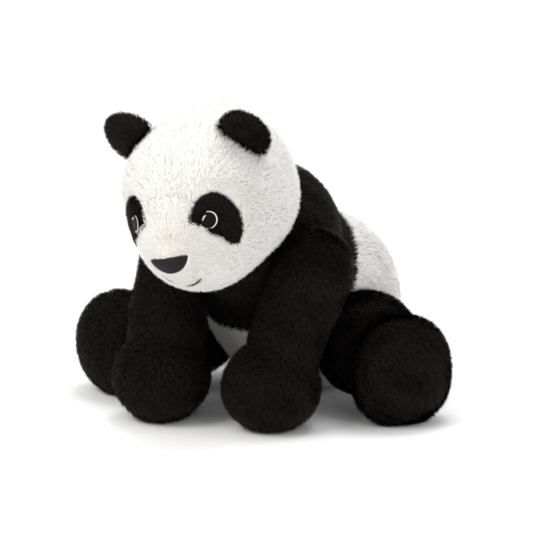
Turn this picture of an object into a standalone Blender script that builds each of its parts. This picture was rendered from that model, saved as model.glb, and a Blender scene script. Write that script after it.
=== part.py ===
"""Sitting plush panda: sewn plush covers over fibre filling, with a turning head and moving limbs and ears."""

import math

import bmesh
import bpy
import numpy as np

# Driving dimensions, in millimetres. +Z is up, the panda faces -Y and its left side is +X.
# The origin is on the floor at the middle of the seat.
MM = 0.001
FABRIC = 2.0  # thickness of the plush cover
FILL_GAP = 0.8  # between a cover and the filling behind it
SEAM_GAP = 0.3  # between two covers along a seam
ARM_GAP = 1.6  # between an arm and the body
LEG_GAP = 1.2  # between a leg and the body
FLOOR_SOFTNESS = 3.0  # rounding where a soft piece lies flat on the floor

HEAD_CENTRE = (0.0, -157.5, 175.5)
HEAD_RADII = (61.0, 68.5, 64.0)  # sideways, front to back, up
HEAD_PITCH = 25.0  # degrees, nose down
HEAD_ROLL = -8.5  # degrees, left ear up
MUZZLE_RISE = 10.5
MUZZLE_WIDTH = 35.0  # degrees
MUZZLE_DROP = 17.0  # degrees below straight ahead
NECK_RISE = 2.0
NECK_WIDTH = 42.0  # degrees
NECK_SOCKET = 70.4
CHEEK_FLAT = 3.5  # how far the cheeks are pressed in over the shoulders
CHEEK_FLAT_WIDTH = 28.0  # degrees
EYE_DENT = 2.6  # how far the eye patches lie sunk in the face
EYE_DENT_WIDTH = 20.0  # degrees

EAR_ANGLES = {"left": 41.5, "right": 44.0}  # degrees from the crown
EAR_LEAN = -0.05  # how far forward of the crown line the ears sit, as a slope
EAR_HEIGHTS = {"left": 23.5, "right": 28.5}
EAR_HALF_WIDTH = 21.0
EAR_HALF_THICKNESS = 8.0

EYE_LON = {"left": 28.5, "right": 28.5}  # degrees sideways from straight ahead
EYE_LAT = {"left": 17.3, "right": 15.5}  # degrees up
IRIS_RADIUS = 5.5
PATCH_LON = {"left": 34.5, "right": 33.0}
PATCH_LAT = {"left": 15.0, "right": 14.0}
PATCH_OUTLINE = (  # angle about the patch's middle in degrees, and reach from it
    (0, 15.6), (20, 15.3), (40, 15.8), (60, 17.9), (80, 19.8), (100, 20.6), (120, 20.2), (140, 19.9),
    (155, 20.4), (163, 20.0), (172, 15.5), (185, 12.0), (200, 10.9), (225, 10.5), (245, 11.2), (260, 12.6),
    (270, 16.0), (280, 22.0), (290, 24.6), (300, 22.6), (320, 19.3), (340, 16.7),
)
NOSE_LON = -2.0  # degrees
NOSE_LAT = -1.2
NOSE_HALF_WIDTH = 17.5
NOSE_UP = 2.5
NOSE_DOWN = 11.0
NOSE_TILT = 9.0  # degrees, left end up

RUMP_CENTRE = (0.0, 0.0, 60.0)
RUMP_RADII = (69.5, 72.5, 66.0)
BELLY_CENTRE = (0.0, -48.0, 72.0)
BELLY_RADII = (55.0, 50.0, 52.0)
SHOULDER_CENTRE = (0.0, -77.0, 128.5)
SHOULDER_RADII = (58.0, 53.0, 54.0)
COLLAR_CENTRE = (0.0, -99.0, 133.0)
COLLAR_RADIUS = 44.0
TORSO_MIDDLE = (0.0, -22.0, 76.0)
TORSO_BEND = 33.0  # degrees between the neck line and the seat line

ARM_ROOTS = {"left": (58.0, -109.0, 118.0), "right": (-54.0, -109.0, 116.0)}
ARM_ROOT_RADIUS = 27.5
ARM_RADIUS = 28.0
PAW_RADII = (35.0, 36.5, 32.0)
PAW_PLACES = {"left": (34.5, -133.0, 30.0), "right": (-47.5, -143.0, 30.0)}
WRIST_BACK = 6.0  # the wrist is behind and above the middle of the paw
WRIST_UP = 6.0
ARM_SWEEP = (5, 2, 0, -8, -16, -25)  # degrees of swing that the body leaves room for, forward being negative

LEG_ROOT = (70.0, -44.0, 45.0)
LEG_ROOT_RADIUS = 38.0
FOOT_PLACES = {"left": (115.4, -81.8, 39.5), "right": (-106.5, -93.0, 37.0)}
FOOT_RADII = {"left": (26.0, 39.0, 40.2), "right": (26.0, 36.0, 37.8)}  # along the leg, across, up
FOOT_TAPER = 0.06  # how much narrower the foot is at its top
FOOT_CORNERS = 2.25  # 2 is round, more is fuller towards the corners
LEG_SWEEP = (-12, 0, 12)

BLACK = (0.012, 0.010, 0.009, 1.0)
WHITE = (0.80, 0.77, 0.71, 1.0)
FILLING = (0.86, 0.86, 0.84, 1.0)
IRIS = (0.020, 0.010, 0.006, 1.0)
THREAD = (0.78, 0.74, 0.66, 1.0)
NOSE_CLOTH = (0.030, 0.025, 0.024, 1.0)


def clear_scene():
    """Remove every object of the start-up scene."""
    for old in list(bpy.data.objects):
        bpy.data.objects.remove(old, do_unlink=True)


def turn_x(degrees):
    c, s = math.cos(math.radians(degrees)), math.sin(math.radians(degrees))
    return np.array([[1, 0, 0], [0, c, -s], [0, s, c]])


def turn_y(degrees):
    c, s = math.cos(math.radians(degrees)), math.sin(math.radians(degrees))
    return np.array([[c, 0, s], [0, 1, 0], [-s, 0, c]])


def turn_z(degrees):
    c, s = math.cos(math.radians(degrees)), math.sin(math.radians(degrees))
    return np.array([[c, -s, 0], [s, c, 0], [0, 0, 1]])


def unit(v):
    v = np.asarray(v, float)
    return v / np.linalg.norm(v, axis=-1, keepdims=True)


def smooth_min(a, b, k):
    h = np.clip(0.5 + 0.5 * (b - a) / k, 0.0, 1.0)
    return b * (1 - h) + a * h - k * h * (1 - h)


def ellipsoid(points, centre, radii, frame=None):
    """Approximate distance to an ellipsoid, negative inside; frame holds its axes as columns."""
    q = points - np.asarray(centre)
    if frame is not None:
        q = q @ frame
    q0 = np.linalg.norm(q / np.asarray(radii), axis=-1)
    q1 = np.linalg.norm(q / np.asarray(radii) ** 2, axis=-1)
    return q0 * (q0 - 1.0) / np.maximum(q1, 1e-9)


def capsule(points, start, end, radius):
    a, b = np.asarray(start), np.asarray(end)
    t = np.clip(((points - a) @ (b - a)) / ((b - a) @ (b - a)), 0.0, 1.0)
    return np.linalg.norm(points - a - t[..., None] * (b - a), axis=-1) - radius


def above_floor(points, field):
    """Flatten a shape softly where it meets the floor."""
    return -smooth_min(-field, points[..., 2], FLOOR_SOFTNESS)


# ---------------------------------------------------------------- shapes of the stuffed bodies

HEAD_TURN = turn_x(HEAD_PITCH) @ turn_y(HEAD_ROLL)
NECK_WORLD = unit([0.0, 0.74, -0.67])
NECK_LOCAL = HEAD_TURN.T @ NECK_WORLD
MUZZLE_AXIS = np.array([0.0, -math.cos(math.radians(MUZZLE_DROP)), -math.sin(math.radians(MUZZLE_DROP))])


def face_direction(lon, lat):
    lon, lat = math.radians(lon), math.radians(lat)
    return np.array([math.sin(lon) * math.cos(lat), -math.cos(lon) * math.cos(lat), math.sin(lat)])


def bump(directions, axis, rise, width):
    angle = np.degrees(np.arccos(np.clip(directions @ axis, -1.0, 1.0)))
    return rise * np.exp(-((angle / width) ** 2))


def head_radius(directions):
    """Radius of the head in its own frame."""
    base = 1.0 / np.linalg.norm(directions / np.asarray(HEAD_RADII), axis=-1)
    r = base + bump(directions, MUZZLE_AXIS, MUZZLE_RISE, MUZZLE_WIDTH)
    r = r + bump(directions, NECK_LOCAL, NECK_RISE, NECK_WIDTH)
    for side, sign in (("left", 1), ("right", -1)):
        middle = face_direction(sign * PATCH_LON[side], PATCH_LAT[side])
        r = r - bump(directions, middle, EYE_DENT, EYE_DENT_WIDTH)
        cheek = HEAD_TURN.T @ unit([sign * 0.72, 0.13, -0.68])
        r = r - bump(directions, cheek, CHEEK_FLAT, CHEEK_FLAT_WIDTH)
    return r


def head_field(points):
    q = (points - np.asarray(HEAD_CENTRE)) @ HEAD_TURN
    r = np.linalg.norm(q, axis=-1)
    return r - head_radius(q / np.maximum(r, 1e-6)[..., None])


def arm_root(side):
    return np.array(ARM_ROOTS[side])


def arm_field(points, side, swing=0.0):
    root = arm_root(side)
    paw = np.asarray(PAW_PLACES[side])
    points = (points - root) @ turn_x(-swing).T + root
    wrist = paw + np.array([0.0, WRIST_BACK, WRIST_UP])
    sleeve = np.maximum(capsule(points, root, wrist, ARM_RADIUS), (points - root) @ unit(root - wrist))
    shoulder = np.linalg.norm(points - root, axis=-1) - ARM_ROOT_RADIUS
    field = smooth_min(smooth_min(sleeve, shoulder, 6.0), ellipsoid(points, paw, PAW_RADII), 6.0)
    return above_floor(points, field) if swing == 0.0 else field


def mirrored(vector, side):
    x, y, z = vector
    return np.array([x if side == "left" else -x, y, z])


def leg_frame(side):
    """Columns: along the leg, across it, up."""
    step = np.asarray(FOOT_PLACES[side]) - mirrored(LEG_ROOT, side)
    along = unit([step[0], step[1], 0.0])
    up = np.array([0.0, 0.0, 1.0])
    return np.column_stack([along, np.cross(up, along), up])


def foot_field(points, side):
    """Bell-like foot: fuller in its corners than an ellipsoid and wider at the floor than on top."""
    q = (points - np.asarray(FOOT_PLACES[side])) @ leg_frame(side) / np.asarray(FOOT_RADII[side])
    across = np.abs(q[..., 1]) / (1.0 - FOOT_TAPER * np.clip(q[..., 2], -1.0, 1.0))
    end = (across**FOOT_CORNERS + np.abs(q[..., 2]) ** FOOT_CORNERS) ** (1.0 / FOOT_CORNERS)
    return (np.hypot(q[..., 0], end) - 1.0) * 30.0


def leg_field(points, side, swing=0.0):
    root = mirrored(LEG_ROOT, side)
    points = (points - root) @ turn_z(-swing).T + root
    thigh = np.linalg.norm(points - root, axis=-1) - LEG_ROOT_RADIUS
    centre = np.asarray(FOOT_PLACES[side])
    foot = foot_field(points, side)
    shin = capsule(points, root, centre * 0.9 + root * 0.1, 33.0)
    return above_floor(points, smooth_min(smooth_min(thigh, shin, 8.0), foot, 8.0))


def beside_limbs(points):
    """How far points are from the space that the head, arms and legs move in, less the gap they need."""
    room = np.linalg.norm(points - np.asarray(HEAD_CENTRE), axis=-1) - NECK_SOCKET
    for side in ("left", "right"):
        for swing in ARM_SWEEP:
            room = np.minimum(room, arm_field(points, side, swing) - ARM_GAP)
        for swing in LEG_SWEEP:
            room = np.minimum(room, leg_field(points, side, swing) - LEG_GAP)
    return room


def torso_field(points):
    rump = ellipsoid(points, RUMP_CENTRE, RUMP_RADII)
    shoulders = ellipsoid(points, SHOULDER_CENTRE, SHOULDER_RADII)
    collar = np.linalg.norm(points - np.asarray(COLLAR_CENTRE), axis=-1) - COLLAR_RADIUS
    top = smooth_min(shoulders, collar, 12.0)
    low = smooth_min(rump, ellipsoid(points, BELLY_CENTRE, BELLY_RADII), 14.0)
    field = above_floor(points, smooth_min(low, top, 23.0))
    return np.maximum(field, -beside_limbs(points))


def ear_frame(side):
    """Columns in the head's frame: along the base, forward, outward."""
    angle = math.radians(EAR_ANGLES[side]) * (1 if side == "left" else -1)
    outward = unit([math.sin(angle), -EAR_LEAN, math.cos(angle)])
    ahead = np.array([0.0, -1.0, 0.0])
    forward = unit(ahead - outward * (ahead @ outward))
    return np.column_stack([np.cross(outward, forward), forward, outward])


def ear_base(side):
    """Middle of the ear's base seam, in world millimetres."""
    outward = ear_frame(side)[:, 2]
    return np.asarray(HEAD_CENTRE) + HEAD_TURN @ (outward * (head_radius(outward[None])[0] + 0.5))


def ear_field(points, side):
    frame = HEAD_TURN @ ear_frame(side)
    middle = ear_base(side) + frame[:, 2] * 4.0
    radii = (EAR_HALF_WIDTH, EAR_HALF_THICKNESS, EAR_HEIGHTS[side] - 4.0)
    pillow = ellipsoid(points, middle, radii, frame)
    depth = np.abs((points - middle) @ frame[:, 1])
    return np.maximum(pillow, 0.5 + 0.40 * depth - head_field(points))


# ---------------------------------------------------------------- covers and fillings


class Body:
    """A stuffed body seen from its middle: rings run from the front pole to the back pole."""

    def __init__(self, middle, axis, up, field, rings, spokes, bend=0.0, border=None, room=None):
        self.middle = np.asarray(middle, float)
        self.axis = unit(axis)
        self.up = unit(np.asarray(up, float) - self.axis * (np.asarray(up, float) @ self.axis))
        self.side = np.cross(self.up, self.axis)
        self.field = field
        self.rings = rings
        self.spokes = spokes
        self.bend = bend
        self.border = border
        beta = np.arange(spokes) * 360.0 / spokes
        alpha = np.array([self.ring_angles(ring, beta) for ring in range(len(rings))])
        directions = self.direction(alpha, np.broadcast_to(beta, alpha.shape))
        self.reach = self.radius(directions)
        if room is not None:
            self.draw_in(directions, room)

    def draw_in(self, directions, room):
        """Shorten the reach wherever a facet between grid points would cut into the room a limb needs."""
        for _ in range(30):
            points = self.middle + directions * self.reach[..., None]
            short = np.zeros_like(self.reach)
            for u, v in ((0, 0.5), (0.5, 0), (0.5, 0.5), (0.33, 0.67), (0.67, 0.33), (0.25, 0.25), (0.75, 0.75)):
                near, far = points[:-1], points[1:]
                low = near * (1 - v) + np.roll(near, -1, axis=1) * v
                high = far * (1 - v) + np.roll(far, -1, axis=1) * v
                lack = np.maximum(-room(low * (1 - u) + high * u), 0.0)
                for shifted in (lack, np.roll(lack, 1, axis=1)):
                    short[:-1] = np.maximum(short[:-1], shifted)
                    short[1:] = np.maximum(short[1:], shifted)
            self.reach = self.reach - short

    def direction(self, alpha, beta):
        """Direction at alpha degrees from the axis and beta degrees round from up."""
        a, b = np.radians(alpha), np.radians(beta)
        flat = np.cos(b)[..., None] * self.up + np.sin(b)[..., None] * self.side
        d = np.cos(a)[..., None] * self.axis + np.sin(a)[..., None] * flat
        if self.bend:
            t = np.radians(self.bend) * np.clip((alpha - 60.0) / 120.0, 0.0, 1.0)
            y = d[..., 1] * np.cos(t) - d[..., 2] * np.sin(t)
            z = d[..., 1] * np.sin(t) + d[..., 2] * np.cos(t)
            d = np.stack([d[..., 0], y, z], axis=-1)
        return d

    def radius(self, directions):
        """Distance to the surface, found by stepping out and halving."""
        reach = np.linspace(2.0, 170.0, 169)
        points = self.middle + directions[..., None, :] * reach[:, None]
        outside = self.field(points) > 0.0
        first = np.argmax(outside, axis=-1)
        low = reach[np.maximum(first - 1, 0)]
        high = reach[first]
        for _ in range(22):
            mid = 0.5 * (low + high)
            out = self.field(self.middle + directions * mid[..., None]) > 0.0
            high = np.where(out, mid, high)
            low = np.where(out, low, mid)
        return low

    def ring_angles(self, ring, beta):
        """Ring angle for each spoke; the border ring can follow its own curve."""
        base = np.full(len(beta), float(self.rings[ring]))
        if self.border is None:
            return base
        index, low, curve = self.border
        shift = curve(beta) - self.rings[index]
        if ring <= low or ring == len(self.rings) - 1:
            return base
        if ring <= index:
            return base + shift * (ring - low) / (index - low)
        return base + shift * (len(self.rings) - 1 - ring) / (len(self.rings) - 1 - index)

    def sheet(self, ring_from, ring_to, spoke_from, spoke_to, depth):
        """Grid of points on the surface moved inwards by depth, kept half a seam gap from its edges."""
        whole = spoke_to - spoke_from == self.spokes
        last = len(self.rings) - 1
        rows = []
        for ring in range(ring_from, ring_to + 1):
            count = self.spokes if whole else spoke_to - spoke_from + 1
            spoke = spoke_from + np.arange(count)
            beta = spoke * 360.0 / self.spokes
            alpha = self.ring_angles(ring, beta)
            gap = math.degrees(0.5 * SEAM_GAP / 55.0)
            if ring == ring_from and ring != 0:
                alpha = alpha + gap
            if ring == ring_to and ring != last:
                alpha = alpha - gap
            if not whole:
                alpha = np.clip(alpha, 1.2, 178.8)
                reach = 55.0 * np.sin(np.radians(alpha))
                inset = np.degrees(np.arcsin(np.clip(0.5 * SEAM_GAP / reach, 0.0, 0.5)))
                beta[0] += inset[0]
                beta[-1] -= inset[-1]
            d = self.direction(alpha, beta)
            rows.append(self.middle + d * (self.reach[ring, spoke % self.spokes] - depth)[:, None])
        return np.array(rows), whole


def add_object(name, vertices, faces, colour, roughness, sheen, origin=None):
    """Make one closed object with its own material; vertices are in millimetres."""
    middle = np.mean(vertices, axis=0) if origin is None else np.asarray(origin, float)
    mesh = bpy.data.meshes.new(name)
    mesh.from_pydata([tuple((v - middle) * MM) for v in vertices], [], faces)
    work = bmesh.new()
    work.from_mesh(mesh)
    bmesh.ops.remove_doubles(work, verts=work.verts, dist=1e-7)
    bmesh.ops.recalc_face_normals(work, faces=work.faces)
    work.to_mesh(mesh)
    work.free()
    material = bpy.data.materials.new(name)
    material.use_nodes = True
    shader = material.node_tree.nodes["Principled BSDF"]
    shader.inputs["Base Color"].default_value = colour
    shader.inputs["Roughness"].default_value = roughness
    shader.inputs["Sheen Weight"].default_value = sheen
    mesh.materials.append(material)
    made = bpy.data.objects.new(name, mesh)
    made.location = tuple(middle * MM)
    bpy.context.collection.objects.link(made)
    return made


def close_shell(outer, inner, wrap, caps):
    """Vertices and faces of the slab between two matching grids; caps tells which end rows are one point."""
    rows, cols = outer.shape[:2]
    vertices = list(outer.reshape(-1, 3)) + list(inner.reshape(-1, 3))

    def at(layer, r, c):
        if (r == 0 and caps[0]) or (r == rows - 1 and caps[1]):
            c = 0
        return layer * rows * cols + r * cols + c % cols

    quads = []
    steps = cols if wrap else cols - 1
    for r in range(rows - 1):
        for c in range(steps):
            for layer in (0, 1):
                near, far = at(layer, r, c), at(layer, r + 1, c + 1)
                quads.append([near, at(layer, r, c + 1), far])
                quads.append([near, far, at(layer, r + 1, c)])
    for c in range(steps):
        if not caps[0]:
            quads.append([at(0, 0, c), at(1, 0, c), at(1, 0, c + 1), at(0, 0, c + 1)])
        if not caps[1]:
            r = rows - 1
            quads.append([at(0, r, c + 1), at(1, r, c + 1), at(1, r, c), at(0, r, c)])
    if not wrap:
        for r in range(rows - 1):
            quads.append([at(0, r + 1, 0), at(1, r + 1, 0), at(1, r, 0), at(0, r, 0)])
            c = cols - 1
            quads.append([at(0, r, c), at(1, r, c), at(1, r + 1, c), at(0, r + 1, c)])
    faces = []
    for quad in quads:
        face = [v for k, v in enumerate(quad) if v != quad[k - 1]]
        if len(face) > 2:
            faces.append(face)
    used = sorted({v for face in faces for v in face})
    place = {v: k for k, v in enumerate(used)}
    return np.array([vertices[v] for v in used]), [[place[v] for v in face] for face in faces]


def add_cover(name, body, ring_from, ring_to, spoke_from, spoke_to, colour, origin=None):
    """One sewn panel of plush between two rings and two spokes."""
    outer, whole = body.sheet(ring_from, ring_to, spoke_from, spoke_to, 0.0)
    inner, _ = body.sheet(ring_from, ring_to, spoke_from, spoke_to, FABRIC)
    caps = (whole and ring_from == 0, whole and ring_to == len(body.rings) - 1)
    vertices, faces = close_shell(outer, inner, whole, caps)
    return add_object(name, vertices, faces, colour, 0.95, 0.3, origin)


def add_filling(name, body, origin=None):
    """The fibre filling behind a body's covers, as one solid."""
    outer, _ = body.sheet(0, len(body.rings) - 1, 0, body.spokes, FABRIC + FILL_GAP)
    rows, cols = outer.shape[:2]
    vertices = [outer[0, 0]] + list(outer[1:-1].reshape(-1, 3)) + [outer[-1, 0]]
    end = len(vertices) - 1
    faces = []
    for c in range(cols):
        n = (c + 1) % cols
        faces.append([0, 1 + c, 1 + n])
        faces.append([end, end - cols + n, end - cols + c])
        for r in range(rows - 3):
            a = 1 + r * cols
            faces.append([a + c, a + n, a + cols + n])
            faces.append([a + c, a + cols + n, a + cols + c])
    return add_object(name, np.array(vertices), faces, FILLING, 1.0, 0.0, origin)


# ---------------------------------------------------------------- face details, sewn on the head


def face_frame(middle):
    """Columns: to the panda's left, up, outward, in the head's frame."""
    left = unit(np.cross(middle, [0.0, 0.0, 1.0])) * -1.0
    if left[0] < 0:
        left = -left
    return np.column_stack([left, unit(np.cross(middle, left)) * (1 if np.cross(middle, left)[2] > 0 else -1), middle])


def on_face(frame, u, v, height):
    """World points u mm left and v mm up of a frame's middle, at a height above the covers."""
    u, v, height = np.broadcast_arrays(np.asarray(u, float), v, height)
    reach = np.hypot(u, v)
    angle = reach / head_radius(frame[:, 2][None])[0]
    safe = np.maximum(reach, 1e-9)
    flat = (u / safe)[..., None] * frame[:, 0] + (v / safe)[..., None] * frame[:, 1]
    d = np.cos(angle)[..., None] * frame[:, 2] + np.sin(angle)[..., None] * flat
    return np.asarray(HEAD_CENTRE) + (d * (head_radius(d) + height)[..., None]) @ HEAD_TURN.T


def add_applique(name, frame, outline, low, high, dome, colour, roughness, rings=4, spokes=24):
    """A flat or domed piece sewn on the head inside a closed outline of (u, v)."""
    angle = np.arange(spokes) * 2 * math.pi / spokes
    u, v = outline(angle)
    share = np.linspace(0.0, 1.0, rings + 1)[:, None]
    rise = high + dome * (1.0 - share**2) * np.ones_like(u)
    outer = on_face(frame, share * u, share * v, rise)
    inner = on_face(frame, share * u, share * v, low + 0.0 * rise)
    vertices, faces = close_shell(outer, inner, True, (True, False))
    return add_object(name, vertices, faces, colour, roughness, 0.1)


def add_stitching(name, frame, line, half_width, low, high, colour):
    """A raised line of embroidery along (u, v) points."""
    line = np.asarray(line, float)
    along = unit(np.gradient(line, axis=0))
    across = np.column_stack([-along[:, 1], along[:, 0]]) * half_width
    left, right = line + across, line - across
    outer = on_face(frame, np.array([left[:, 0], right[:, 0]]), np.array([left[:, 1], right[:, 1]]), high)
    inner = on_face(frame, np.array([left[:, 0], right[:, 0]]), np.array([left[:, 1], right[:, 1]]), low)
    vertices, faces = close_shell(outer, inner, False, (False, False))
    return add_object(name, vertices, faces, colour, 0.5, 0.1)


def arc(radius, start, end, count, middle=(0.0, 0.0)):
    angle = np.radians(np.linspace(start, end, count))
    return np.column_stack([middle[0] + radius * np.cos(angle), middle[1] + radius * np.sin(angle)])


def patch_outline(sign):
    """Eye patch with one corner towards the nose and one low and outwards."""
    at, reach = np.array(PATCH_OUTLINE, float).T

    def outline(angle):
        r = np.interp(np.degrees(angle) % 360.0, at, reach, period=360.0)
        return sign * r * np.cos(angle), r * np.sin(angle)

    return outline


def nose_outline(angle):
    """Wide nose, nearly straight on top and round below."""
    up = np.sin(angle) > 0
    v = np.where(up, NOSE_UP * np.abs(np.sin(angle)) ** 0.6, -NOSE_DOWN * np.abs(np.sin(angle)) ** 1.1)
    u = NOSE_HALF_WIDTH * np.cos(angle) * (1.0 - 0.12 * (np.sin(angle) < 0) * np.abs(np.sin(angle)))
    c, s = math.cos(math.radians(NOSE_TILT)), math.sin(math.radians(NOSE_TILT))
    return u * c - v * s, u * s + v * c


def build_face():
    ahead = face_frame(face_direction(0.0, 0.0))
    nose = face_frame(face_direction(NOSE_LON, NOSE_LAT))
    add_applique("nose", nose, nose_outline, 0.3, 0.9, 3.0, NOSE_CLOTH, 0.6, rings=3)
    for side, sign in (("left", 1), ("right", -1)):
        patch = face_frame(face_direction(sign * PATCH_LON[side], PATCH_LAT[side]))
        add_applique("eye_patch_" + side, patch, patch_outline(sign), 0.3, 1.5, 0.0, BLACK, 0.95)
        eye = face_frame(face_direction(sign * EYE_LON[side], EYE_LAT[side]))
        disc = lambda angle: (IRIS_RADIUS * np.cos(angle), IRIS_RADIUS * np.sin(angle))
        add_applique("iris_" + side, eye, disc, 1.8, 2.6, 0.5, IRIS, 0.35, rings=2, spokes=16)
        rim = arc(IRIS_RADIUS + 0.9, 75.0, -85.0, 12)
        add_stitching("eye_rim_" + side, eye, rim, 0.45, 1.8, 3.0, THREAD)
        glint = arc(3.6, 165.0, 105.0, 6)
        add_stitching("eye_glint_" + side, eye, glint, 0.35, 3.3, 3.9, THREAD)
        smile = arc(24.0, -90.0 + sign * 6.0, -90.0 + sign * 46.0, 7, (0.0, -4.5))
        add_stitching("mouth_stitch_" + side, ahead, smile, 0.6, 0.3, 1.3, NOSE_CLOTH)


# ---------------------------------------------------------------- the panda


def build_head():
    forward = HEAD_TURN @ np.array([0.0, -1.0, 0.0])
    up = HEAD_TURN @ np.array([0.0, 0.0, 1.0])
    rings = [0, 12, 24, 36, 49, 62, 75, 88, 101, 114, 127, 140, 153, 166, 180]
    head = Body(HEAD_CENTRE, forward, up, head_field, rings, 20)
    add_filling("head_filling", head, HEAD_CENTRE)
    add_cover("muzzle_cover", head, 0, 3, 0, 20, WHITE, HEAD_CENTRE)
    add_cover("forehead_cover", head, 3, 8, -4, 4, WHITE, HEAD_CENTRE)
    add_cover("cheek_cover_left", head, 3, 8, 4, 8, WHITE, HEAD_CENTRE)
    add_cover("chin_cover", head, 3, 8, 8, 12, WHITE, HEAD_CENTRE)
    add_cover("cheek_cover_right", head, 3, 8, 12, 16, WHITE, HEAD_CENTRE)
    add_cover("head_back_left", head, 8, 14, 0, 10, WHITE, HEAD_CENTRE)
    add_cover("head_back_right", head, 8, 14, 10, 20, WHITE, HEAD_CENTRE)
    build_face()


def build_ears():
    for side in ("left", "right"):
        frame = HEAD_TURN @ ear_frame(side)
        base = ear_base(side)
        middle = base + frame[:, 2] * 9.0
        field = lambda points, side=side: ear_field(points, side)
        ear = Body(middle, frame[:, 1], frame[:, 2], field, [0, 30, 55, 74, 90, 106, 125, 150, 180], 16)
        add_filling("ear_filling_" + side, ear, base)
        add_cover("ear_front_" + side, ear, 0, 4, 0, 16, BLACK, base)
        add_cover("ear_back_" + side, ear, 4, 8, 0, 16, BLACK, base)


def torso_border(beta):
    """Angle of the seam between the black and the white plush, for each spoke."""
    b = np.radians(beta)
    return 71.3 + 11.6 * np.cos(b) - 1.8 * np.cos(2 * b) + 3.9 * np.cos(3 * b)


def build_torso():
    axis = -NECK_WORLD
    rings = [0, 7, 14, 20, 28, 36, 44, 51, 60, 70, 80, 91, 102, 113, 124, 135, 146, 157, 168, 180]
    up = (0.0, 0.0, 1.0)
    border = (7, 3, torso_border)
    torso = Body(TORSO_MIDDLE, axis, up, torso_field, rings, 30, -TORSO_BEND, border, beside_limbs)
    add_filling("torso_filling", torso)
    add_cover("chest_cover", torso, 3, 7, 10, 20, BLACK)
    add_cover("shoulder_cover_left", torso, 3, 7, 0, 10, BLACK)
    add_cover("shoulder_cover_right", torso, 3, 7, 20, 30, BLACK)
    add_cover("belly_cover", torso, 7, 16, 10, 20, WHITE)
    add_cover("back_cover_left", torso, 7, 16, 0, 10, WHITE)
    add_cover("back_cover_right", torso, 7, 16, 20, 30, WHITE)
    add_cover("seat_cover", torso, 16, 19, 0, 30, WHITE)


def build_arms():
    rings = [0, 12, 24, 37, 50, 63, 79, 97, 116, 133, 149, 165, 180]
    for side, sign in (("left", 1), ("right", -1)):
        root = arm_root(side)
        paw = np.asarray(PAW_PLACES[side])
        middle = 0.47 * root + 0.53 * paw
        field = lambda points, side=side: arm_field(points, side)
        arm = Body(middle, paw - root, (-sign * 1.0, 0.0, 0.0), field, rings, 16)
        add_filling("arm_filling_" + side, arm, root)
        add_cover("paw_sole_" + side, arm, 0, 2, 0, 16, BLACK, root)
        add_cover("paw_cover_" + side, arm, 2, 4, 0, 16, BLACK, root)
        add_cover("sleeve_inner_" + side, arm, 4, 12, -4, 4, BLACK, root)
        add_cover("sleeve_outer_" + side, arm, 4, 12, 4, 12, BLACK, root)


def build_legs():
    rings = [0, 13, 26, 38, 50, 62, 78, 95, 112, 129, 146, 163, 180]
    for side in ("left", "right"):
        root = mirrored(LEG_ROOT, side)
        foot = np.asarray(FOOT_PLACES[side])
        middle = 0.42 * root + 0.58 * foot
        field = lambda points, side=side: leg_field(points, side)
        leg = Body(middle, leg_frame(side)[:, 0], (0.0, 0.0, 1.0), field, rings, 16)
        add_filling("leg_filling_" + side, leg, root)
        add_cover("foot_sole_" + side, leg, 0, 4, 0, 16, BLACK, root)
        add_cover("foot_cover_" + side, leg, 4, 6, 0, 16, BLACK, root)
        add_cover("thigh_upper_" + side, leg, 6, 12, -4, 4, BLACK, root)
        add_cover("thigh_lower_" + side, leg, 6, 12, 4, 12, BLACK, root)


clear_scene()
build_head()
build_ears()
build_torso()
build_arms()
build_legs()
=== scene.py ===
"""Looks of the sitting plush panda: covers with pile, embroidered eyes, woven nose, floor, light, camera."""

import math
from functools import partial

import bmesh
import bpy
import numpy as np
from mathutils import Matrix, Vector


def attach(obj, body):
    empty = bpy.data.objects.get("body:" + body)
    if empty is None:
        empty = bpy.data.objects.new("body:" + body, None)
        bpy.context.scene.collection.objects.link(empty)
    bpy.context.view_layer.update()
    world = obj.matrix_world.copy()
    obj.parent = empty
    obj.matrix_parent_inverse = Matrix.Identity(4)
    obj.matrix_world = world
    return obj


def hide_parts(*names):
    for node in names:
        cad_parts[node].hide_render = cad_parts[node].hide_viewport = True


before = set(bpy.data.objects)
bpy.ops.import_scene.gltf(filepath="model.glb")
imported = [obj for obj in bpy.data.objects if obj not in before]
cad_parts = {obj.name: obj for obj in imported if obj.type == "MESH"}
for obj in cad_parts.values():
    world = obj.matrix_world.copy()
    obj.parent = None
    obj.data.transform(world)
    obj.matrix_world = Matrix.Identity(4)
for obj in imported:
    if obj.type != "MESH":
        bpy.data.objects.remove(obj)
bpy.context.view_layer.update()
rng = np.random.default_rng(7)

# Shapes in millimetres, as in the CAD model. +Z is up, the panda faces -Y and its left side is +X.
MM = 0.001
SIDES = (("left", 1), ("right", -1))
FLOOR_SOFTNESS = 3.0
HEAD_CENTRE = np.array([-1.2, -157.5, 175.5])
HEAD_RADII = np.array([62.0, 68.5, 64.0])
HEAD_PITCH, HEAD_ROLL = 25.0, -8.5
MUZZLE_RISE, MUZZLE_WIDTH, MUZZLE_DROP = 10.0, 36.0, 11.0
CHEEK_FLAT, CHEEK_FLAT_WIDTH = 3.5, 28.0
NECK_RISE, NECK_WIDTH = 0.5, 42.0
EYE_DENT, EYE_DENT_WIDTH = 2.6, 20.0
EAR_ANGLES = {"left": 41.5, "right": 44.0}
EAR_LEAN, EAR_HALF_WIDTH, EAR_HALF_THICKNESS = -0.05, 21.0, 8.0
EAR_HEIGHTS = {"left": 23.5, "right": 28.5}
EYE_LON, EYE_LAT, IRIS_RADIUS = {"left": 28.5, "right": 28.5}, {"left": 17.3, "right": 15.5}, 5.7
PATCH_LON, PATCH_LAT = {"left": 34.5, "right": 33.0}, {"left": 15.0, "right": 14.0}
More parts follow.
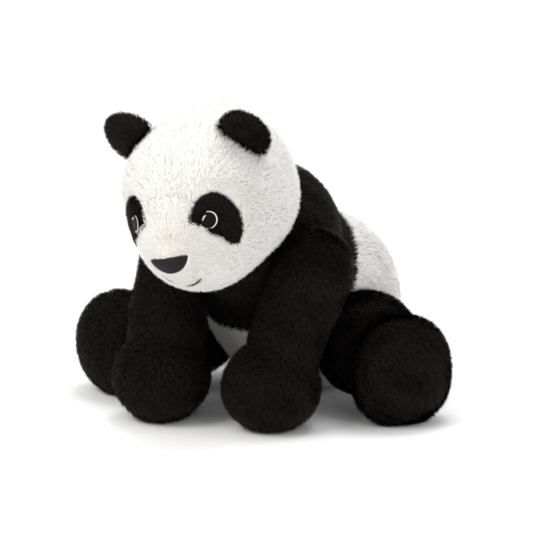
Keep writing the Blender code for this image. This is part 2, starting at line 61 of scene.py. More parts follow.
PATCH_OUTLINE = (  # angle about the patch's middle in degrees, and reach from it
    (0, 15.6), (20, 15.3), (40, 15.8), (60, 17.9), (80, 19.8), (100, 20.6), (120, 20.2), (140, 19.9),
    (155, 20.4), (163, 20.0), (172, 15.5), (185, 12.0), (200, 10.9), (225, 10.5), (245, 11.2), (260, 12.6),
    (270, 16.0), (280, 22.0), (290, 24.6), (300, 22.6), (320, 19.3), (340, 16.7),
)
NOSE_LON, NOSE_LAT, NOSE_TILT = -2.0, -1.2, 9.0
NOSE_HALF_WIDTH, NOSE_UP, NOSE_DOWN = 17.5, 2.5, 11.0
SMILE_RADIUS, SMILE_DROP = 24.0, 4.5
MOUTH_HEIGHTS = {"left": 2.0, "right": 0.7}  # the right stitch lies low in the pile
RUMP_CENTRE, RUMP_RADII = (0.0, 0.0, 60.0), (69.5, 72.5, 66.0)
BELLY_CENTRE, BELLY_RADII = (0.0, -48.0, 72.0), (55.0, 50.0, 52.0)
SHOULDER_CENTRE, SHOULDER_RADII = (0.0, -77.0, 128.5), (58.0, 53.0, 54.0)
COLLAR_CENTRE, COLLAR_RADIUS = (0.0, -99.0, 133.0), 44.0
TORSO_MIDDLE, TORSO_BEND = (0.0, -22.0, 76.0), 33.0
ARM_ROOTS = {"left": (58.0, -109.0, 118.0), "right": (-54.0, -109.0, 116.0)}
ARM_ROOT_RADIUS, ARM_RADIUS = 27.5, 28.0
ARM_NARROWING = {"left": 0.0, "right": 7.0}  # how much slimmer the top of the arm is than in the CAD
NARROWING_REACH, NARROWING_POWER = 0.55, 1.5  # share of the arm that it covers, and how fast it fades
SHOULDER_BLEND, PAW_BLEND = 6.0, 5.0
PAW_RADII = (35.0, 36.5, 32.0)
PAW_PLACES = {"left": (34.5, -133.0, 30.0), "right": (-47.5, -143.0, 30.0)}
WRIST = np.array([0.0, 6.0, 6.0])
LEG_ROOT, LEG_ROOT_RADIUS = (70.0, -44.0, 45.0), 38.0
FOOT_PLACES = {"left": (115.4, -81.8, 39.5), "right": (-106.5, -93.0, 37.0)}
FOOT_RADII = {"left": (26.0, 39.0, 40.2), "right": (26.0, 36.0, 37.8)}
FOOT_TAPER, FOOT_CORNERS = 0.06, 2.25
FOOT_SCALE = 30.0  # makes the foot's distance, which has no unit, about millimetres
SHIN_RADIUS, LEG_BLEND = 33.0, 8.0
COLLAR_BLEND, BELLY_BLEND, WAIST_BLEND = 12.0, 14.0, 23.0
LIMB_GAP, LIMB_GAP_BLEND = 0.3, 3.0  # room that the torso leaves round the head and the limbs
EAR_ROOT = 4.0  # how far above its base the middle of the ear lies
SKIN_DEPTH = 3.0  # how far the backing lies under the CAD surface, so that the pile straddles it
BACKING_THICKNESS, STUFFING_DEPTH = 1.3, 2.2
DENSITY = 1.8  # tufts of pile per square millimetre
PATCH_DENSITY = 3.4
TUFT_CLUMP, TUFT_LEAN = 2.6, 0.95  # size of a clump in mm, and lean from the normal in radians
# Colour slots of the pile: the root colour is darker as painted shade at the foot of the pile, the tip colour
# lighter as painted light on the tips; body and warm are tones mixed at random.
PAINTED_SHADE_ROOT, BODY_SHADE, PAINTED_LIGHT_TIP, WARM_SHADE = range(4)


def turn(axis, degrees):
    return np.array(Matrix.Rotation(math.radians(degrees), 3, axis))


def unit(v):
    v = np.asarray(v, float)
    return v / np.maximum(np.linalg.norm(v, axis=-1, keepdims=True), 1e-9)


def smooth_min(a, b, k):
    h = np.clip(0.5 + 0.5 * (b - a) / k, 0.0, 1.0)
    return b * (1 - h) + a * h - k * h * (1 - h)


def ellipsoid(points, centre, radii, axes=None):
    q = points - np.asarray(centre)
    if axes is not None:
        q = q @ axes
    q0 = np.linalg.norm(q / np.asarray(radii), axis=-1)
    q1 = np.linalg.norm(q / np.asarray(radii) ** 2, axis=-1)
    return q0 * (q0 - 1.0) / np.maximum(q1, 1e-9)


def capsule(points, start, end, radius):
    a, b = np.asarray(start), np.asarray(end)
    t = np.clip(((points - a) @ (b - a)) / ((b - a) @ (b - a)), 0.0, 1.0)
    return np.linalg.norm(points - a - t[..., None] * (b - a), axis=-1) - radius


def above_floor(points, field):
    return -smooth_min(-field, points[..., 2], FLOOR_SOFTNESS)


def mirrored(vector, side):
    x, y, z = vector
    return np.array([x if side == "left" else -x, y, z])


HEAD_TURN = turn("X", HEAD_PITCH) @ turn("Y", HEAD_ROLL)
NECK_WORLD = unit([0.0, 0.74, -0.67])
NECK_LOCAL = HEAD_TURN.T @ NECK_WORLD
MUZZLE_AXIS = np.array([0.0, -math.cos(math.radians(MUZZLE_DROP)), -math.sin(math.radians(MUZZLE_DROP))])


def face_direction(lon, lat):
    lon, lat = math.radians(lon), math.radians(lat)
    return np.array([math.sin(lon) * math.cos(lat), -math.cos(lon) * math.cos(lat), math.sin(lat)])


def bump(directions, axis, rise, width):
    angle = np.degrees(np.arccos(np.clip(directions @ axis, -1.0, 1.0)))
    return rise * np.exp(-((angle / width) ** 2))


def head_radius(directions):
    base = 1.0 / np.linalg.norm(directions / HEAD_RADII, axis=-1)
    r = base + bump(directions, MUZZLE_AXIS, MUZZLE_RISE, MUZZLE_WIDTH)
    r = r + bump(directions, NECK_LOCAL, NECK_RISE, NECK_WIDTH)
    for side, sign in SIDES:
        middle = face_direction(sign * PATCH_LON[side], PATCH_LAT[side])
        r = r - bump(directions, middle, EYE_DENT, EYE_DENT_WIDTH)
        cheek = HEAD_TURN.T @ unit([sign * 0.72, 0.13, -0.68])
        r = r - bump(directions, cheek, CHEEK_FLAT, CHEEK_FLAT_WIDTH)
    return r


def head_field(points):
    q = (points - HEAD_CENTRE) @ HEAD_TURN
    r = np.linalg.norm(q, axis=-1)
    return r - head_radius(q / np.maximum(r, 1e-6)[..., None])


def arm_field(points, side):
    root, paw = np.asarray(ARM_ROOTS[side]), np.asarray(PAW_PLACES[side])
    wrist = paw + WRIST
    run = wrist - root
    along = np.clip((points - root) @ run / (run @ run) / NARROWING_REACH, 0.0, 1.0)
    narrowing = ARM_NARROWING[side] * (1.0 - along) ** NARROWING_POWER
    above = (points - root) @ unit(root - wrist)
    sleeve = np.maximum(capsule(points, root, wrist, ARM_RADIUS - narrowing), above)
    shoulder = np.linalg.norm(points - root, axis=-1) - ARM_ROOT_RADIUS + narrowing
    upper = smooth_min(sleeve, shoulder, SHOULDER_BLEND)
    return above_floor(points, smooth_min(upper, ellipsoid(points, paw, PAW_RADII), PAW_BLEND))


def leg_axes(side):
    step = np.asarray(FOOT_PLACES[side]) - mirrored(LEG_ROOT, side)
    along = unit([step[0], step[1], 0.0])
    up = np.array([0.0, 0.0, 1.0])
    return np.column_stack([along, np.cross(up, along), up])


def foot_field(points, side):
    q = (points - np.asarray(FOOT_PLACES[side])) @ leg_axes(side) / np.asarray(FOOT_RADII[side])
    across = np.abs(q[..., 1]) / (1.0 - FOOT_TAPER * np.clip(q[..., 2], -1.0, 1.0))
    end = (across**FOOT_CORNERS + np.abs(q[..., 2]) ** FOOT_CORNERS) ** (1.0 / FOOT_CORNERS)
    return (np.hypot(q[..., 0], end) - 1.0) * FOOT_SCALE


def leg_field(points, side):
    root, centre = mirrored(LEG_ROOT, side), np.asarray(FOOT_PLACES[side])
    thigh = np.linalg.norm(points - root, axis=-1) - LEG_ROOT_RADIUS
    foot = foot_field(points, side)
    shin = capsule(points, root, centre * 0.9 + root * 0.1, SHIN_RADIUS)
    return above_floor(points, smooth_min(smooth_min(thigh, shin, LEG_BLEND), foot, LEG_BLEND))


def torso_field(points):
    rump = ellipsoid(points, RUMP_CENTRE, RUMP_RADII)
    shoulders = ellipsoid(points, SHOULDER_CENTRE, SHOULDER_RADII)
    collar = np.linalg.norm(points - np.asarray(COLLAR_CENTRE), axis=-1) - COLLAR_RADIUS
    top = smooth_min(shoulders, collar, COLLAR_BLEND)
    low = smooth_min(rump, ellipsoid(points, BELLY_CENTRE, BELLY_RADII), BELLY_BLEND)
    field = above_floor(points, smooth_min(low, top, WAIST_BLEND))
    room = head_field(points)
    for side, _ in SIDES:
        room = np.minimum(room, np.minimum(arm_field(points, side), leg_field(points, side)))
    return -smooth_min(-field, room - LIMB_GAP, LIMB_GAP_BLEND)


def ear_axes(side):
    angle = math.radians(EAR_ANGLES[side]) * (1 if side == "left" else -1)
    outward = unit([math.sin(angle), -EAR_LEAN, math.cos(angle)])
    ahead = np.array([0.0, -1.0, 0.0])
    forward = unit(ahead - outward * (ahead @ outward))
    return np.column_stack([np.cross(outward, forward), forward, outward])


def ear_base(side):
    outward = ear_axes(side)[:, 2]
    return HEAD_CENTRE + HEAD_TURN @ (outward * (head_radius(outward[None])[0] + 0.5))


def ear_field(points, side):
    axes = HEAD_TURN @ ear_axes(side)
    middle = ear_base(side) + axes[:, 2] * EAR_ROOT
    radii = (EAR_HALF_WIDTH, EAR_HALF_THICKNESS, EAR_HEIGHTS[side] - EAR_ROOT)
    return -smooth_min(-ellipsoid(points, middle, radii, axes), head_field(points) + 1.0, 1.5)


# ---------------------------------------------------------------- materials


def plush(name, colour, sheen, roughness=0.75, gloss=0.2):
    """Pile fibre: one even colour a shade, so the mix of shades in a cover gives its variation; the darker
    root shade is painted shade at the foot of the pile and the lighter tip shade is painted light on the
    tips.
    """
    material = bpy.data.materials.new(name)
    material.use_nodes = True
    shader = material.node_tree.nodes["Principled BSDF"]
    shader.inputs["Base Color"].default_value = (*colour, 1.0)
    shader.inputs["Roughness"].default_value = roughness
    shader.inputs["Specular IOR Level"].default_value = gloss
    shader.inputs["Sheen Weight"].default_value = sheen
    shader.inputs["Sheen Roughness"].default_value = 0.45
    return material


def patterned(name, low, high, scale, roughness, bump_height=0.2, sheen=0.2, pattern="NOISE", gloss=0.15):
    """Fabric with colour and height from a fine procedural pattern."""
    material = bpy.data.materials.new(name)
    material.use_nodes = True
    tree = material.node_tree
    shader = tree.nodes["Principled BSDF"]
    place = tree.nodes.new("ShaderNodeTexCoord")
    if pattern == "WEAVE":
        texture = tree.nodes.new("ShaderNodeTexChecker")
        texture.inputs["Color1"].default_value = (1, 1, 1, 1)
        texture.inputs["Color2"].default_value = (0, 0, 0, 1)
        value = texture.outputs["Color"]
    else:
        texture = tree.nodes.new("ShaderNodeTexNoise")
        texture.inputs["Detail"].default_value = 4.0
        value = texture.outputs["Fac"]
    texture.inputs["Scale"].default_value = scale
    tree.links.new(place.outputs["Object"], texture.inputs["Vector"])
    ramp = tree.nodes.new("ShaderNodeValToRGB")
    ramp.color_ramp.elements[0].position = 0.3
    ramp.color_ramp.elements[0].color = (*low, 1.0)
    ramp.color_ramp.elements[1].position = 0.7
    ramp.color_ramp.elements[1].color = (*high, 1.0)
    tree.links.new(value, ramp.inputs["Fac"])
    tree.links.new(ramp.outputs["Color"], shader.inputs["Base Color"])
    height = tree.nodes.new("ShaderNodeBump")
    height.inputs["Strength"].default_value = 0.6
    height.inputs["Distance"].default_value = bump_height * MM
    tree.links.new(value, height.inputs["Height"])
    tree.links.new(height.outputs["Normal"], shader.inputs["Normal"])
    shader.inputs["Roughness"].default_value = roughness
    shader.inputs["Specular IOR Level"].default_value = gloss
    shader.inputs["Sheen Weight"].default_value = sheen
    return material


# The root colour is darker as painted shade deep in the pile, the tip colour lighter as painted light on the
# tips.
WHITE_PILE = [
    plush("pile_white_root_painted_shade", (0.84, 0.81, 0.76), 0.1),
    plush("pile_white_body", (0.90, 0.88, 0.84), 0.2),
    plush("pile_white_tip_painted_light", (0.94, 0.93, 0.91), 0.2),
    plush("pile_white_warm", (0.92, 0.895, 0.85), 0.2),
]
# As for the white pile: the root colour is darker as painted shade, the tip colour lighter as painted light.
BLACK_PILE = [
    plush("pile_black_root_painted_shade", (0.0030, 0.0025, 0.0024), 0.0, 0.7, 0.05),
    plush("pile_black_body", (0.0058, 0.0046, 0.0041), 0.006, 0.65, 0.05),
    plush("pile_black_tip_painted_light", (0.0125, 0.0098, 0.0086), 0.015, 0.6, 0.07),
    plush("pile_black_warm", (0.0090, 0.0068, 0.0058), 0.010, 0.65, 0.06),
]
WHITE_BACKING = patterned("white_backing", (0.80, 0.76, 0.70), (0.88, 0.85, 0.80), 900.0, 0.9)
BLACK_BACKING = patterned(
    "black_backing", (0.003, 0.0025, 0.0025), (0.007, 0.006, 0.005), 900.0, 0.9, sheen=0.0, gloss=0.04
)
STUFFING = patterned("fibre_stuffing", (0.75, 0.75, 0.73), (0.88, 0.88, 0.86), 120.0, 1.0)
NOSE_CLOTH = patterned(
    "nose_cloth", (0.004, 0.0035, 0.0035), (0.018, 0.0145, 0.0145), 1400.0, 0.7, 0.3, 0.03, "WEAVE"
)
IRIS_SATIN = patterned(
    "iris_satin", (0.003, 0.002, 0.0018), (0.012, 0.0075, 0.0055), 1200.0, 0.5, 0.15, sheen=0.0, gloss=0.05
)
LIGHT_THREAD = patterned("light_thread", (0.55, 0.52, 0.47), (0.80, 0.78, 0.72), 2500.0, 0.45, 0.15)
DARK_THREAD = patterned("dark_thread", (0.010, 0.008, 0.008), (0.035, 0.028, 0.026), 2500.0, 0.45, 0.15)


# ---------------------------------------------------------------- surfaces


def lumps(points):
    """Gentle unevenness of hand-filled stuffing."""
    waves = (
        ((0.070, 0.031, 0.052), 0.3),
        ((-0.043, 0.082, 0.037), 1.9),
        ((0.051, -0.047, 0.090), 4.1),
    )
    total = 0.0
    for wave, phase in waves:
        total = total + np.sin(points @ np.asarray(wave) + phase)
    return 0.45 * total


class Body:
    """A stuffed body seen from its middle, on a fine grid of rings and spokes that includes the CAD seams."""

    def __init__(self, middle, axis, up, field, rings, spokes, fine, bend=0.0, border=None):
        self.middle = np.asarray(middle, float)
        self.axis = unit(axis)
        self.up = unit(np.asarray(up, float) - self.axis * (np.asarray(up, float) @ self.axis))
        self.side = np.cross(self.up, self.axis)
        self.rings, self.spokes, self.fine = rings, spokes, fine
        self.bend, self.border, self.field = bend, border, field
        rows = (len(rings) - 1) * fine + 1
        cols = spokes * fine
        beta = np.arange(cols) * 360.0 / cols
        alpha = np.array([self.ring_angles(row / fine, beta) for row in range(rows)])
        d = self.direction(alpha, np.broadcast_to(beta, alpha.shape))
        self.directions, self.alpha = d, alpha
        self.outer = self.middle + d * self.radius(d)[..., None]
        self.dent = np.zeros((rows, cols))

    def direction(self, alpha, beta):
        a, b = np.radians(alpha), np.radians(beta)
        flat = np.cos(b)[..., None] * self.up + np.sin(b)[..., None] * self.side
        d = np.cos(a)[..., None] * self.axis + np.sin(a)[..., None] * flat
        if self.bend:
            t = np.radians(self.bend) * np.clip((alpha - 60.0) / 120.0, 0.0, 1.0)
            y = d[..., 1] * np.cos(t) - d[..., 2] * np.sin(t)
            z = d[..., 1] * np.sin(t) + d[..., 2] * np.cos(t)
            d = np.stack([d[..., 0], y, z], axis=-1)
        return d

    def radius(self, directions):
        reach = np.linspace(3.0, 168.0, 56)
        low = np.empty(directions.shape[:-1])
        for k, row in enumerate(directions):
            outside = self.field(self.middle + row[:, None, :] * reach[:, None]) > 0.0
            first = np.argmax(outside, axis=-1)
            lo, hi = reach[np.maximum(first - 1, 0)], reach[first]
            for _ in range(16):
                mid = 0.5 * (lo + hi)
                out = self.field(self.middle + row * mid[:, None]) > 0.0
                hi, lo = np.where(out, mid, hi), np.where(out, lo, mid)
            low[k] = lo
        return low

    def ring_angles(self, u, beta):
        def at(ring):
            base = np.full(len(beta), float(self.rings[ring]))
            if self.border is None or ring == len(self.rings) - 1:
                return base
            index, low, curve = self.border
            shift = curve(beta) - self.rings[index]
            if ring <= low:
                return base
            if ring <= index:
                return base + shift * (ring - low) / (index - low)
            return base + shift * (len(self.rings) - 1 - ring) / (len(self.rings) - 1 - index)

        low = min(int(u), len(self.rings) - 2)
        return at(low) * (1 - (u - low)) + at(low + 1) * (u - low)

    def groove(self, region, depth, width):
        """Pull the surface in along the edges of a region of rings and spokes, as a seam does."""
        r0, r1, s0, s1 = region
        rows = np.arange(self.outer.shape[0]) / self.fine
        whole = s1 - s0 == self.spokes
        ends = [r for r in (r0, r1) if 0 < r < len(self.rings) - 1]
        inside = (rows >= r0 - 0.8) & (rows <= r1 + 0.8)
        for ring in ends:
            far = np.linalg.norm(self.outer - self.outer[ring * self.fine][None], axis=-1)
            cols = np.arange(self.outer.shape[1]) / self.fine
            near = ((cols - s0) % self.spokes <= s1 - s0) | whole
            self.dent = np.maximum(self.dent, np.where(near, depth * np.exp(-((far / width) ** 2)), 0.0))
        if not whole:
            for spoke in (s0, s1):
                line = self.outer[:, (spoke % self.spokes) * self.fine][:, None]
                far = np.linalg.norm(self.outer - line, axis=-1)
                pulled = np.where(inside[:, None], depth * np.exp(-((far / width) ** 2)), 0.0)
                self.dent = np.maximum(self.dent, pulled)

    def finish(self):
        """Fix the skin: its points, its outward normals and the way from the first pole to the last."""
        lift = np.clip(self.outer[..., 2] / 6.0, 0.0, 1.0)
        inward = (SKIN_DEPTH + self.dent) * (0.35 + 0.65 * lift) - lumps(self.outer) * lift
        self.skin = self.outer - self.directions * inward[..., None]
        self.skin[..., 2] = np.maximum(self.skin[..., 2], 0.4)
        ahead = np.roll(self.skin, -1, axis=1) - np.roll(self.skin, 1, axis=1)
        down = np.gradient(self.skin, axis=0)
        self.along = unit(down)
        normal = np.cross(down, ahead)
        normal[0] = self.directions[0]
        normal[-1] = self.directions[-1]
        sign = np.sign(np.sum(normal * self.directions, axis=-1, keepdims=True))
        self.normal = unit(normal * np.where(sign == 0, 1, sign))


def close_shell(outer, inner, wrap, caps):
    """Vertices and faces of the slab between two matching grids; caps tells which end rows are one point."""
    rows, cols = outer.shape[:2]
    vertices = np.concatenate([outer.reshape(-1, 3), inner.reshape(-1, 3)])

    def at(layer, r, c):
        if (r == 0 and caps[0]) or (r == rows - 1 and caps[1]):
            c = 0
        return layer * rows * cols + r * cols + c % cols

    faces = []
    steps = cols if wrap else cols - 1
    for r in range(rows - 1):
        for c in range(steps):
            for layer in (0, 1):
                quad = [at(layer, r, c), at(layer, r, c + 1), at(layer, r + 1, c + 1), at(layer, r + 1, c)]
                faces.append(quad if layer == 0 else quad[::-1])
    for c in range(steps):
        if not caps[0]:
            faces.append([at(0, 0, c), at(1, 0, c), at(1, 0, c + 1), at(0, 0, c + 1)])
        if not caps[1]:
            r = rows - 1
            faces.append([at(0, r, c + 1), at(1, r, c + 1), at(1, r, c), at(0, r, c)])
    if not wrap:
        for r in range(rows - 1):
            faces.append([at(0, r + 1, 0), at(1, r + 1, 0), at(1, r, 0), at(0, r, 0)])
            last = cols - 1
            faces.append([at(0, r, last), at(1, r, last), at(1, r + 1, last), at(0, r + 1, last)])
    tidy = []
    for quad in faces:
        face = [v for k, v in enumerate(quad) if v != quad[k - 1]]
        if len(face) > 2:
            tidy.append(face)
    used = sorted({v for face in tidy for v in face})
    place = {v: k for k, v in enumerate(used)}
    return vertices[used], [[place[v] for v in face] for face in tidy]


def add_solid(name, vertices, faces, material, body):
    mesh = bpy.data.meshes.new(name)
    mesh.from_pydata((np.asarray(vertices) * MM).tolist(), [], faces)
    work = bmesh.new()
    work.from_mesh(mesh)
    bmesh.ops.remove_doubles(work, verts=work.verts, dist=1e-7)
    bmesh.ops.recalc_face_normals(work, faces=work.faces)
    work.to_mesh(mesh)
    work.free()
    mesh.materials.append(material)
    mesh.polygons.foreach_set("use_smooth", np.ones(len(mesh.polygons), bool))
    made = bpy.data.objects.new(name, mesh)
    bpy.context.collection.objects.link(made)
    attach(made, body)
    return made


def add_pile(name, roots, normals, flow, length, shades, body, width=0.46, pull=(0.1, 0.45)):
    """A field of bent, tapering tufts standing on a skin; flow is the way they are brushed.

    Each tuft is a blade of 5 points and 3 triangles. wander turns the tufts over a few millimetres and
    matting over a few centimetres, and pull draws the tips of a clump together. A blade's foot takes the
    darker root colour as painted shade and its tip the lighter tip colour as painted light; the matting
    wave also gives the tips the darker body colour in patches, a painted patchy highlight.
    """
    count = len(roots)
    jitter = rng.normal(size=(count, 3))
    flow = flow - normals * np.sum(flow * normals, axis=1, keepdims=True)
    wander = np.sin(roots @ np.array([0.9, 0.5, 0.7]))
    wander = wander + np.sin(roots @ np.array([-0.4, 1.1, 0.6]) + 2.0)
    matting_and_painted_highlight = np.sin(roots @ np.array([0.23, -0.11, 0.19]))
    matting_and_painted_highlight = matting_and_painted_highlight + np.sin(roots @ np.array([-0.14, 0.26, 0.12]) + 1.0)
    across = np.cross(normals, unit(flow))
    flow = unit(unit(flow) + across * (0.22 * wander + 0.25 * matting_and_painted_highlight)[:, None] + 0.42 * jitter)
    flow = unit(flow - normals * np.sum(flow * normals, axis=1, keepdims=True))
    size = length * rng.uniform(0.72, 1.2, count)
    angle = np.clip(rng.normal(TUFT_LEAN, 0.17, count), 0.3, 1.35)
    high = (size * np.cos(angle))[:, None] * normals
    far = (size * np.sin(angle))[:, None] * flow
    tips = roots + high + far
    cell = np.floor((roots + 0.5 * rng.normal(size=(count, 3))) / TUFT_CLUMP).astype(np.int64)
    key = cell[:, 0] * 73856093 ^ cell[:, 1] * 19349663 ^ cell[:, 2] * 83492791
    _, group = np.unique(key, return_inverse=True)
    total = np.zeros((group.max() + 1, 3))
    np.add.at(total, group, tips)
    mean = total / np.bincount(group)[:, None]
    pull = rng.uniform(*pull, count)[:, None]
    tips = tips * (1 - pull) + mean[group] * pull
    tips[:, 2] = np.maximum(tips[:, 2], 0.15)
    middle = roots + 0.62 * high + 0.36 * (tips - roots - high)
    middle[:, 2] = np.maximum(middle[:, 2], 0.3)
    side = unit(np.cross(normals, flow) + 0.35 * rng.normal(size=(count, 3)))
    half = 0.5 * width * rng.uniform(0.7, 1.35, count)[:, None] * side
    base = roots - 0.5 * normals
    points = np.stack([base - half, base + half, middle - 0.8 * half, middle + 0.8 * half, tips], axis=1)
    turned = unit(normals + 0.25 * flow + 0.11 * rng.normal(size=(count, 3)))
    upper = unit(turned + 0.35 * flow)
    shade = np.stack([turned, turned, turned, turned, upper], axis=1)
    first = 5 * np.arange(count)[:, None]
    corners = first + np.array([0, 3, 1, 0, 2, 3, 2, 4, 3])
    # Painted light and shade: roots get the darker root colour as painted shade, tips the lighter tip colour
    # as painted light, and where the matting wave is low the tips get the darker body colour, a painted
    # patchy highlight.
    family = rng.random(count) + 0.18 * wander
    body_shade = np.where(family > 0.75, WARM_SHADE, BODY_SHADE)
    tip_shade = np.where(family - 0.3 * matting_and_painted_highlight > 0.95, BODY_SHADE, PAINTED_LIGHT_TIP)
    index = np.stack([np.full(count, PAINTED_SHADE_ROOT), body_shade, tip_shade], axis=1)
    mesh = bpy.data.meshes.new(name)
    mesh.vertices.add(5 * count)
    mesh.vertices.foreach_set("co", (points.reshape(-1) * MM).astype(np.float32))
    mesh.loops.add(9 * count)
    mesh.loops.foreach_set("vertex_index", corners.reshape(-1).astype(np.int32))
    mesh.polygons.add(3 * count)
    mesh.polygons.foreach_set("loop_start", np.arange(0, 9 * count, 3, dtype=np.int32))
    for shade_material in shades:
        mesh.materials.append(shade_material)
    mesh.polygons.foreach_set("material_index", index.reshape(-1).astype(np.int32))
    mesh.polygons.foreach_set("use_smooth", np.ones(3 * count, bool))
    mesh.update(calc_edges=True)
    mesh.normals_split_custom_set_from_vertices(shade.reshape(-1, 3).astype(np.float32))
    made = bpy.data.objects.new(name, mesh)
    bpy.context.collection.objects.link(made)
    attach(made, body)
    return made


def scatter(grids, density):
    """Random points on a patch of a grid; grids holds arrays to interpolate, the first being positions."""
    points = grids[0]
    a, b = points[:-1, :-1], points[:-1, 1:]
    c, d = points[1:, :-1], points[1:, 1:]
    area = 0.5 * np.linalg.norm(np.cross(b - a, c - a), axis=-1)
    area = area + 0.5 * np.linalg.norm(np.cross(b - d, c - d), axis=-1)
    wanted = area * density[:-1, :-1]
    count = np.floor(wanted + rng.random(wanted.shape)).astype(int)
    cell = np.repeat(np.arange(count.size), count.reshape(-1))
    r, q = np.unravel_index(cell, count.shape)
    s, t = rng.random(len(cell)), rng.random(len(cell))
    out = []
    for g in grids:
        w = (Ellipsis,) + (None,) * (g.ndim - 2)
        near = g[r, q] * (1 - t)[w] + g[r, q + 1] * t[w]
        far = g[r + 1, q] * (1 - t)[w] + g[r + 1, q + 1] * t[w]
        out.append(near * (1 - s)[w] + far * s[w])
    return out


def part_of(body, grid, region):
    """Rows and columns of a grid that belong to a region of CAD rings and spokes."""
    r0, r1, s0, s1 = region
    rows = slice(r0 * body.fine, r1 * body.fine + 1)
    cols = np.arange(s0 * body.fine, s1 * body.fine + 1) % grid.shape[1]
    return grid[rows][:, cols]


def add_panel(stem, node, body, region, black, ride, flow, length, density=1.0, keep=None):
    """One cover: a closed backing and the pile standing on it."""
    whole = region[3] - region[2] == body.spokes
    last = len(body.rings) - 1
    skin = part_of(body, body.skin, region)
    depth = part_of(body, body.directions, region) * BACKING_THICKNESS
    grid, under = skin, skin - depth
    caps = (region[0] == 0, region[1] == last)
    if whole:
        grid, under = grid[:, :-1], under[:, :-1]
    vertices, faces = close_shell(grid, under, whole, caps)
    colour, cloth = ("black_plush", BLACK_BACKING) if black else ("white_plush", WHITE_BACKING)
    backing = add_solid(stem + "_cover_cloth", vertices, faces, cloth, ride)
    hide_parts(node)
    fields = [skin] + [part_of(body, grid, region) for grid in (body.normal, flow, length)]
    amount = DENSITY * density * part_of(body, np.clip(body.skin[..., 2] / 3.0, 0.12, 1.0), region)
    roots, normals, brushed, tall = scatter(fields, amount)
    normals = unit(normals)
    if keep is not None:
        chosen = keep(roots)
        roots, normals, brushed, tall = roots[chosen], normals[chosen], brushed[chosen], tall[chosen]
    shades, pull = (BLACK_PILE, (0.1, 0.45)) if black else (WHITE_PILE, (0.0, 0.25))
    add_pile(stem + "_pile", roots, normals, brushed, tall, shades, ride, pull=pull)


def add_stuffing(stem, node, body, ride):
    """The fibre filling, a smooth closed body under the covers."""
    inner = (body.skin - body.directions * STUFFING_DEPTH)[:, ::2]
    rows, cols = inner.shape[:2]
    vertices = np.concatenate([inner[:1, 0], inner[1:-1].reshape(-1, 3), inner[-1:, 0]])
    end = len(vertices) - 1
    faces = []
    for c in range(cols):
        n = (c + 1) % cols
        faces.append([0, 1 + c, 1 + n])
        faces.append([end, end - cols + n, end - cols + c])
        for r in range(rows - 3):
            a = 1 + r * cols
            faces.append([a + c, a + cols + c, a + cols + n, a + n])
    made = add_solid(stem + "_stuffing", vertices, faces, STUFFING, ride)
    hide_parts(node)


# ---------------------------------------------------------------- the face


def face_frame(middle):
    """Columns: to the panda's left, up, outward, in the head's frame."""
    left = unit(np.cross([0.0, 0.0, 1.0], middle))
    if left[0] < 0:
        left = -left
    up = unit(np.cross(middle, left))
    if up[2] < 0:
        up = -up
    return np.column_stack([left, up, middle])


def skin_height(directions):
    """Radius of the head's skin, lumps included, in the head's frame."""
    r = head_radius(directions)
    world = HEAD_CENTRE + (directions * r[..., None]) @ HEAD_TURN.T
    return r - SKIN_DEPTH + lumps(world)


def on_face(axes, u, v, height):
    """World points u mm left and v mm up of a frame's middle, at a height above the skin."""
    u, v, height = np.broadcast_arrays(np.asarray(u, float), v, height)
    reach = np.hypot(u, v)
    angle = reach / head_radius(axes[:, 2][None])[0]
    safe = np.maximum(reach, 1e-9)
    flat = (u / safe)[..., None] * axes[:, 0] + (v / safe)[..., None] * axes[:, 1]
    d = np.cos(angle)[..., None] * axes[:, 2] + np.sin(angle)[..., None] * flat
    return HEAD_CENTRE + (d * (skin_height(d) + height)[..., None]) @ HEAD_TURN.T


def face_uv(axes, points):
    """The u and v of world points in a face frame, the reverse of on_face."""
    d = unit((points - HEAD_CENTRE) @ HEAD_TURN)
    angle = np.arccos(np.clip(d @ axes[:, 2], -1.0, 1.0))
    u, v = d @ axes[:, 0], d @ axes[:, 1]
    reach = angle * head_radius(axes[:, 2][None])[0] / np.maximum(np.hypot(u, v), 1e-9)
    return u * reach, v * reach


AHEAD_AXES = face_frame(face_direction(0.0, 0.0))
NOSE_AXES = face_frame(face_direction(NOSE_LON, NOSE_LAT))
PATCH_AXES = {s: face_frame(face_direction(k * PATCH_LON[s], PATCH_LAT[s])) for s, k in SIDES}
EYE_AXES = {s: face_frame(face_direction(k * EYE_LON[s], EYE_LAT[s])) for s, k in SIDES}
NOSE_COS, NOSE_SIN = math.cos(math.radians(NOSE_TILT)), math.sin(math.radians(NOSE_TILT))


def patch_reach(angle, sign):
    """Radius of the eye patch at an angle from the panda's left, measured upwards."""
    angle = np.degrees(np.where(sign > 0, angle, math.pi - angle)) % 360.0
    at, reach = np.array(PATCH_OUTLINE, float).T
    return np.interp(angle, at, reach, period=360.0)


def in_patch(points, side, margin=0.0):
    u, v = face_uv(PATCH_AXES[side], points)
    sign = 1 if side == "left" else -1
    return np.hypot(u, v) < patch_reach(np.arctan2(v, u), sign) + margin


def nose_outline(angle):
    up = np.sin(angle) > 0
    v = np.where(up, NOSE_UP * np.abs(np.sin(angle)) ** 0.6, -NOSE_DOWN * np.abs(np.sin(angle)) ** 1.1)
    u = NOSE_HALF_WIDTH * np.cos(angle) * (1.0 - 0.12 * (np.sin(angle) < 0) * np.abs(np.sin(angle)))
    return u * NOSE_COS - v * NOSE_SIN, u * NOSE_SIN + v * NOSE_COS


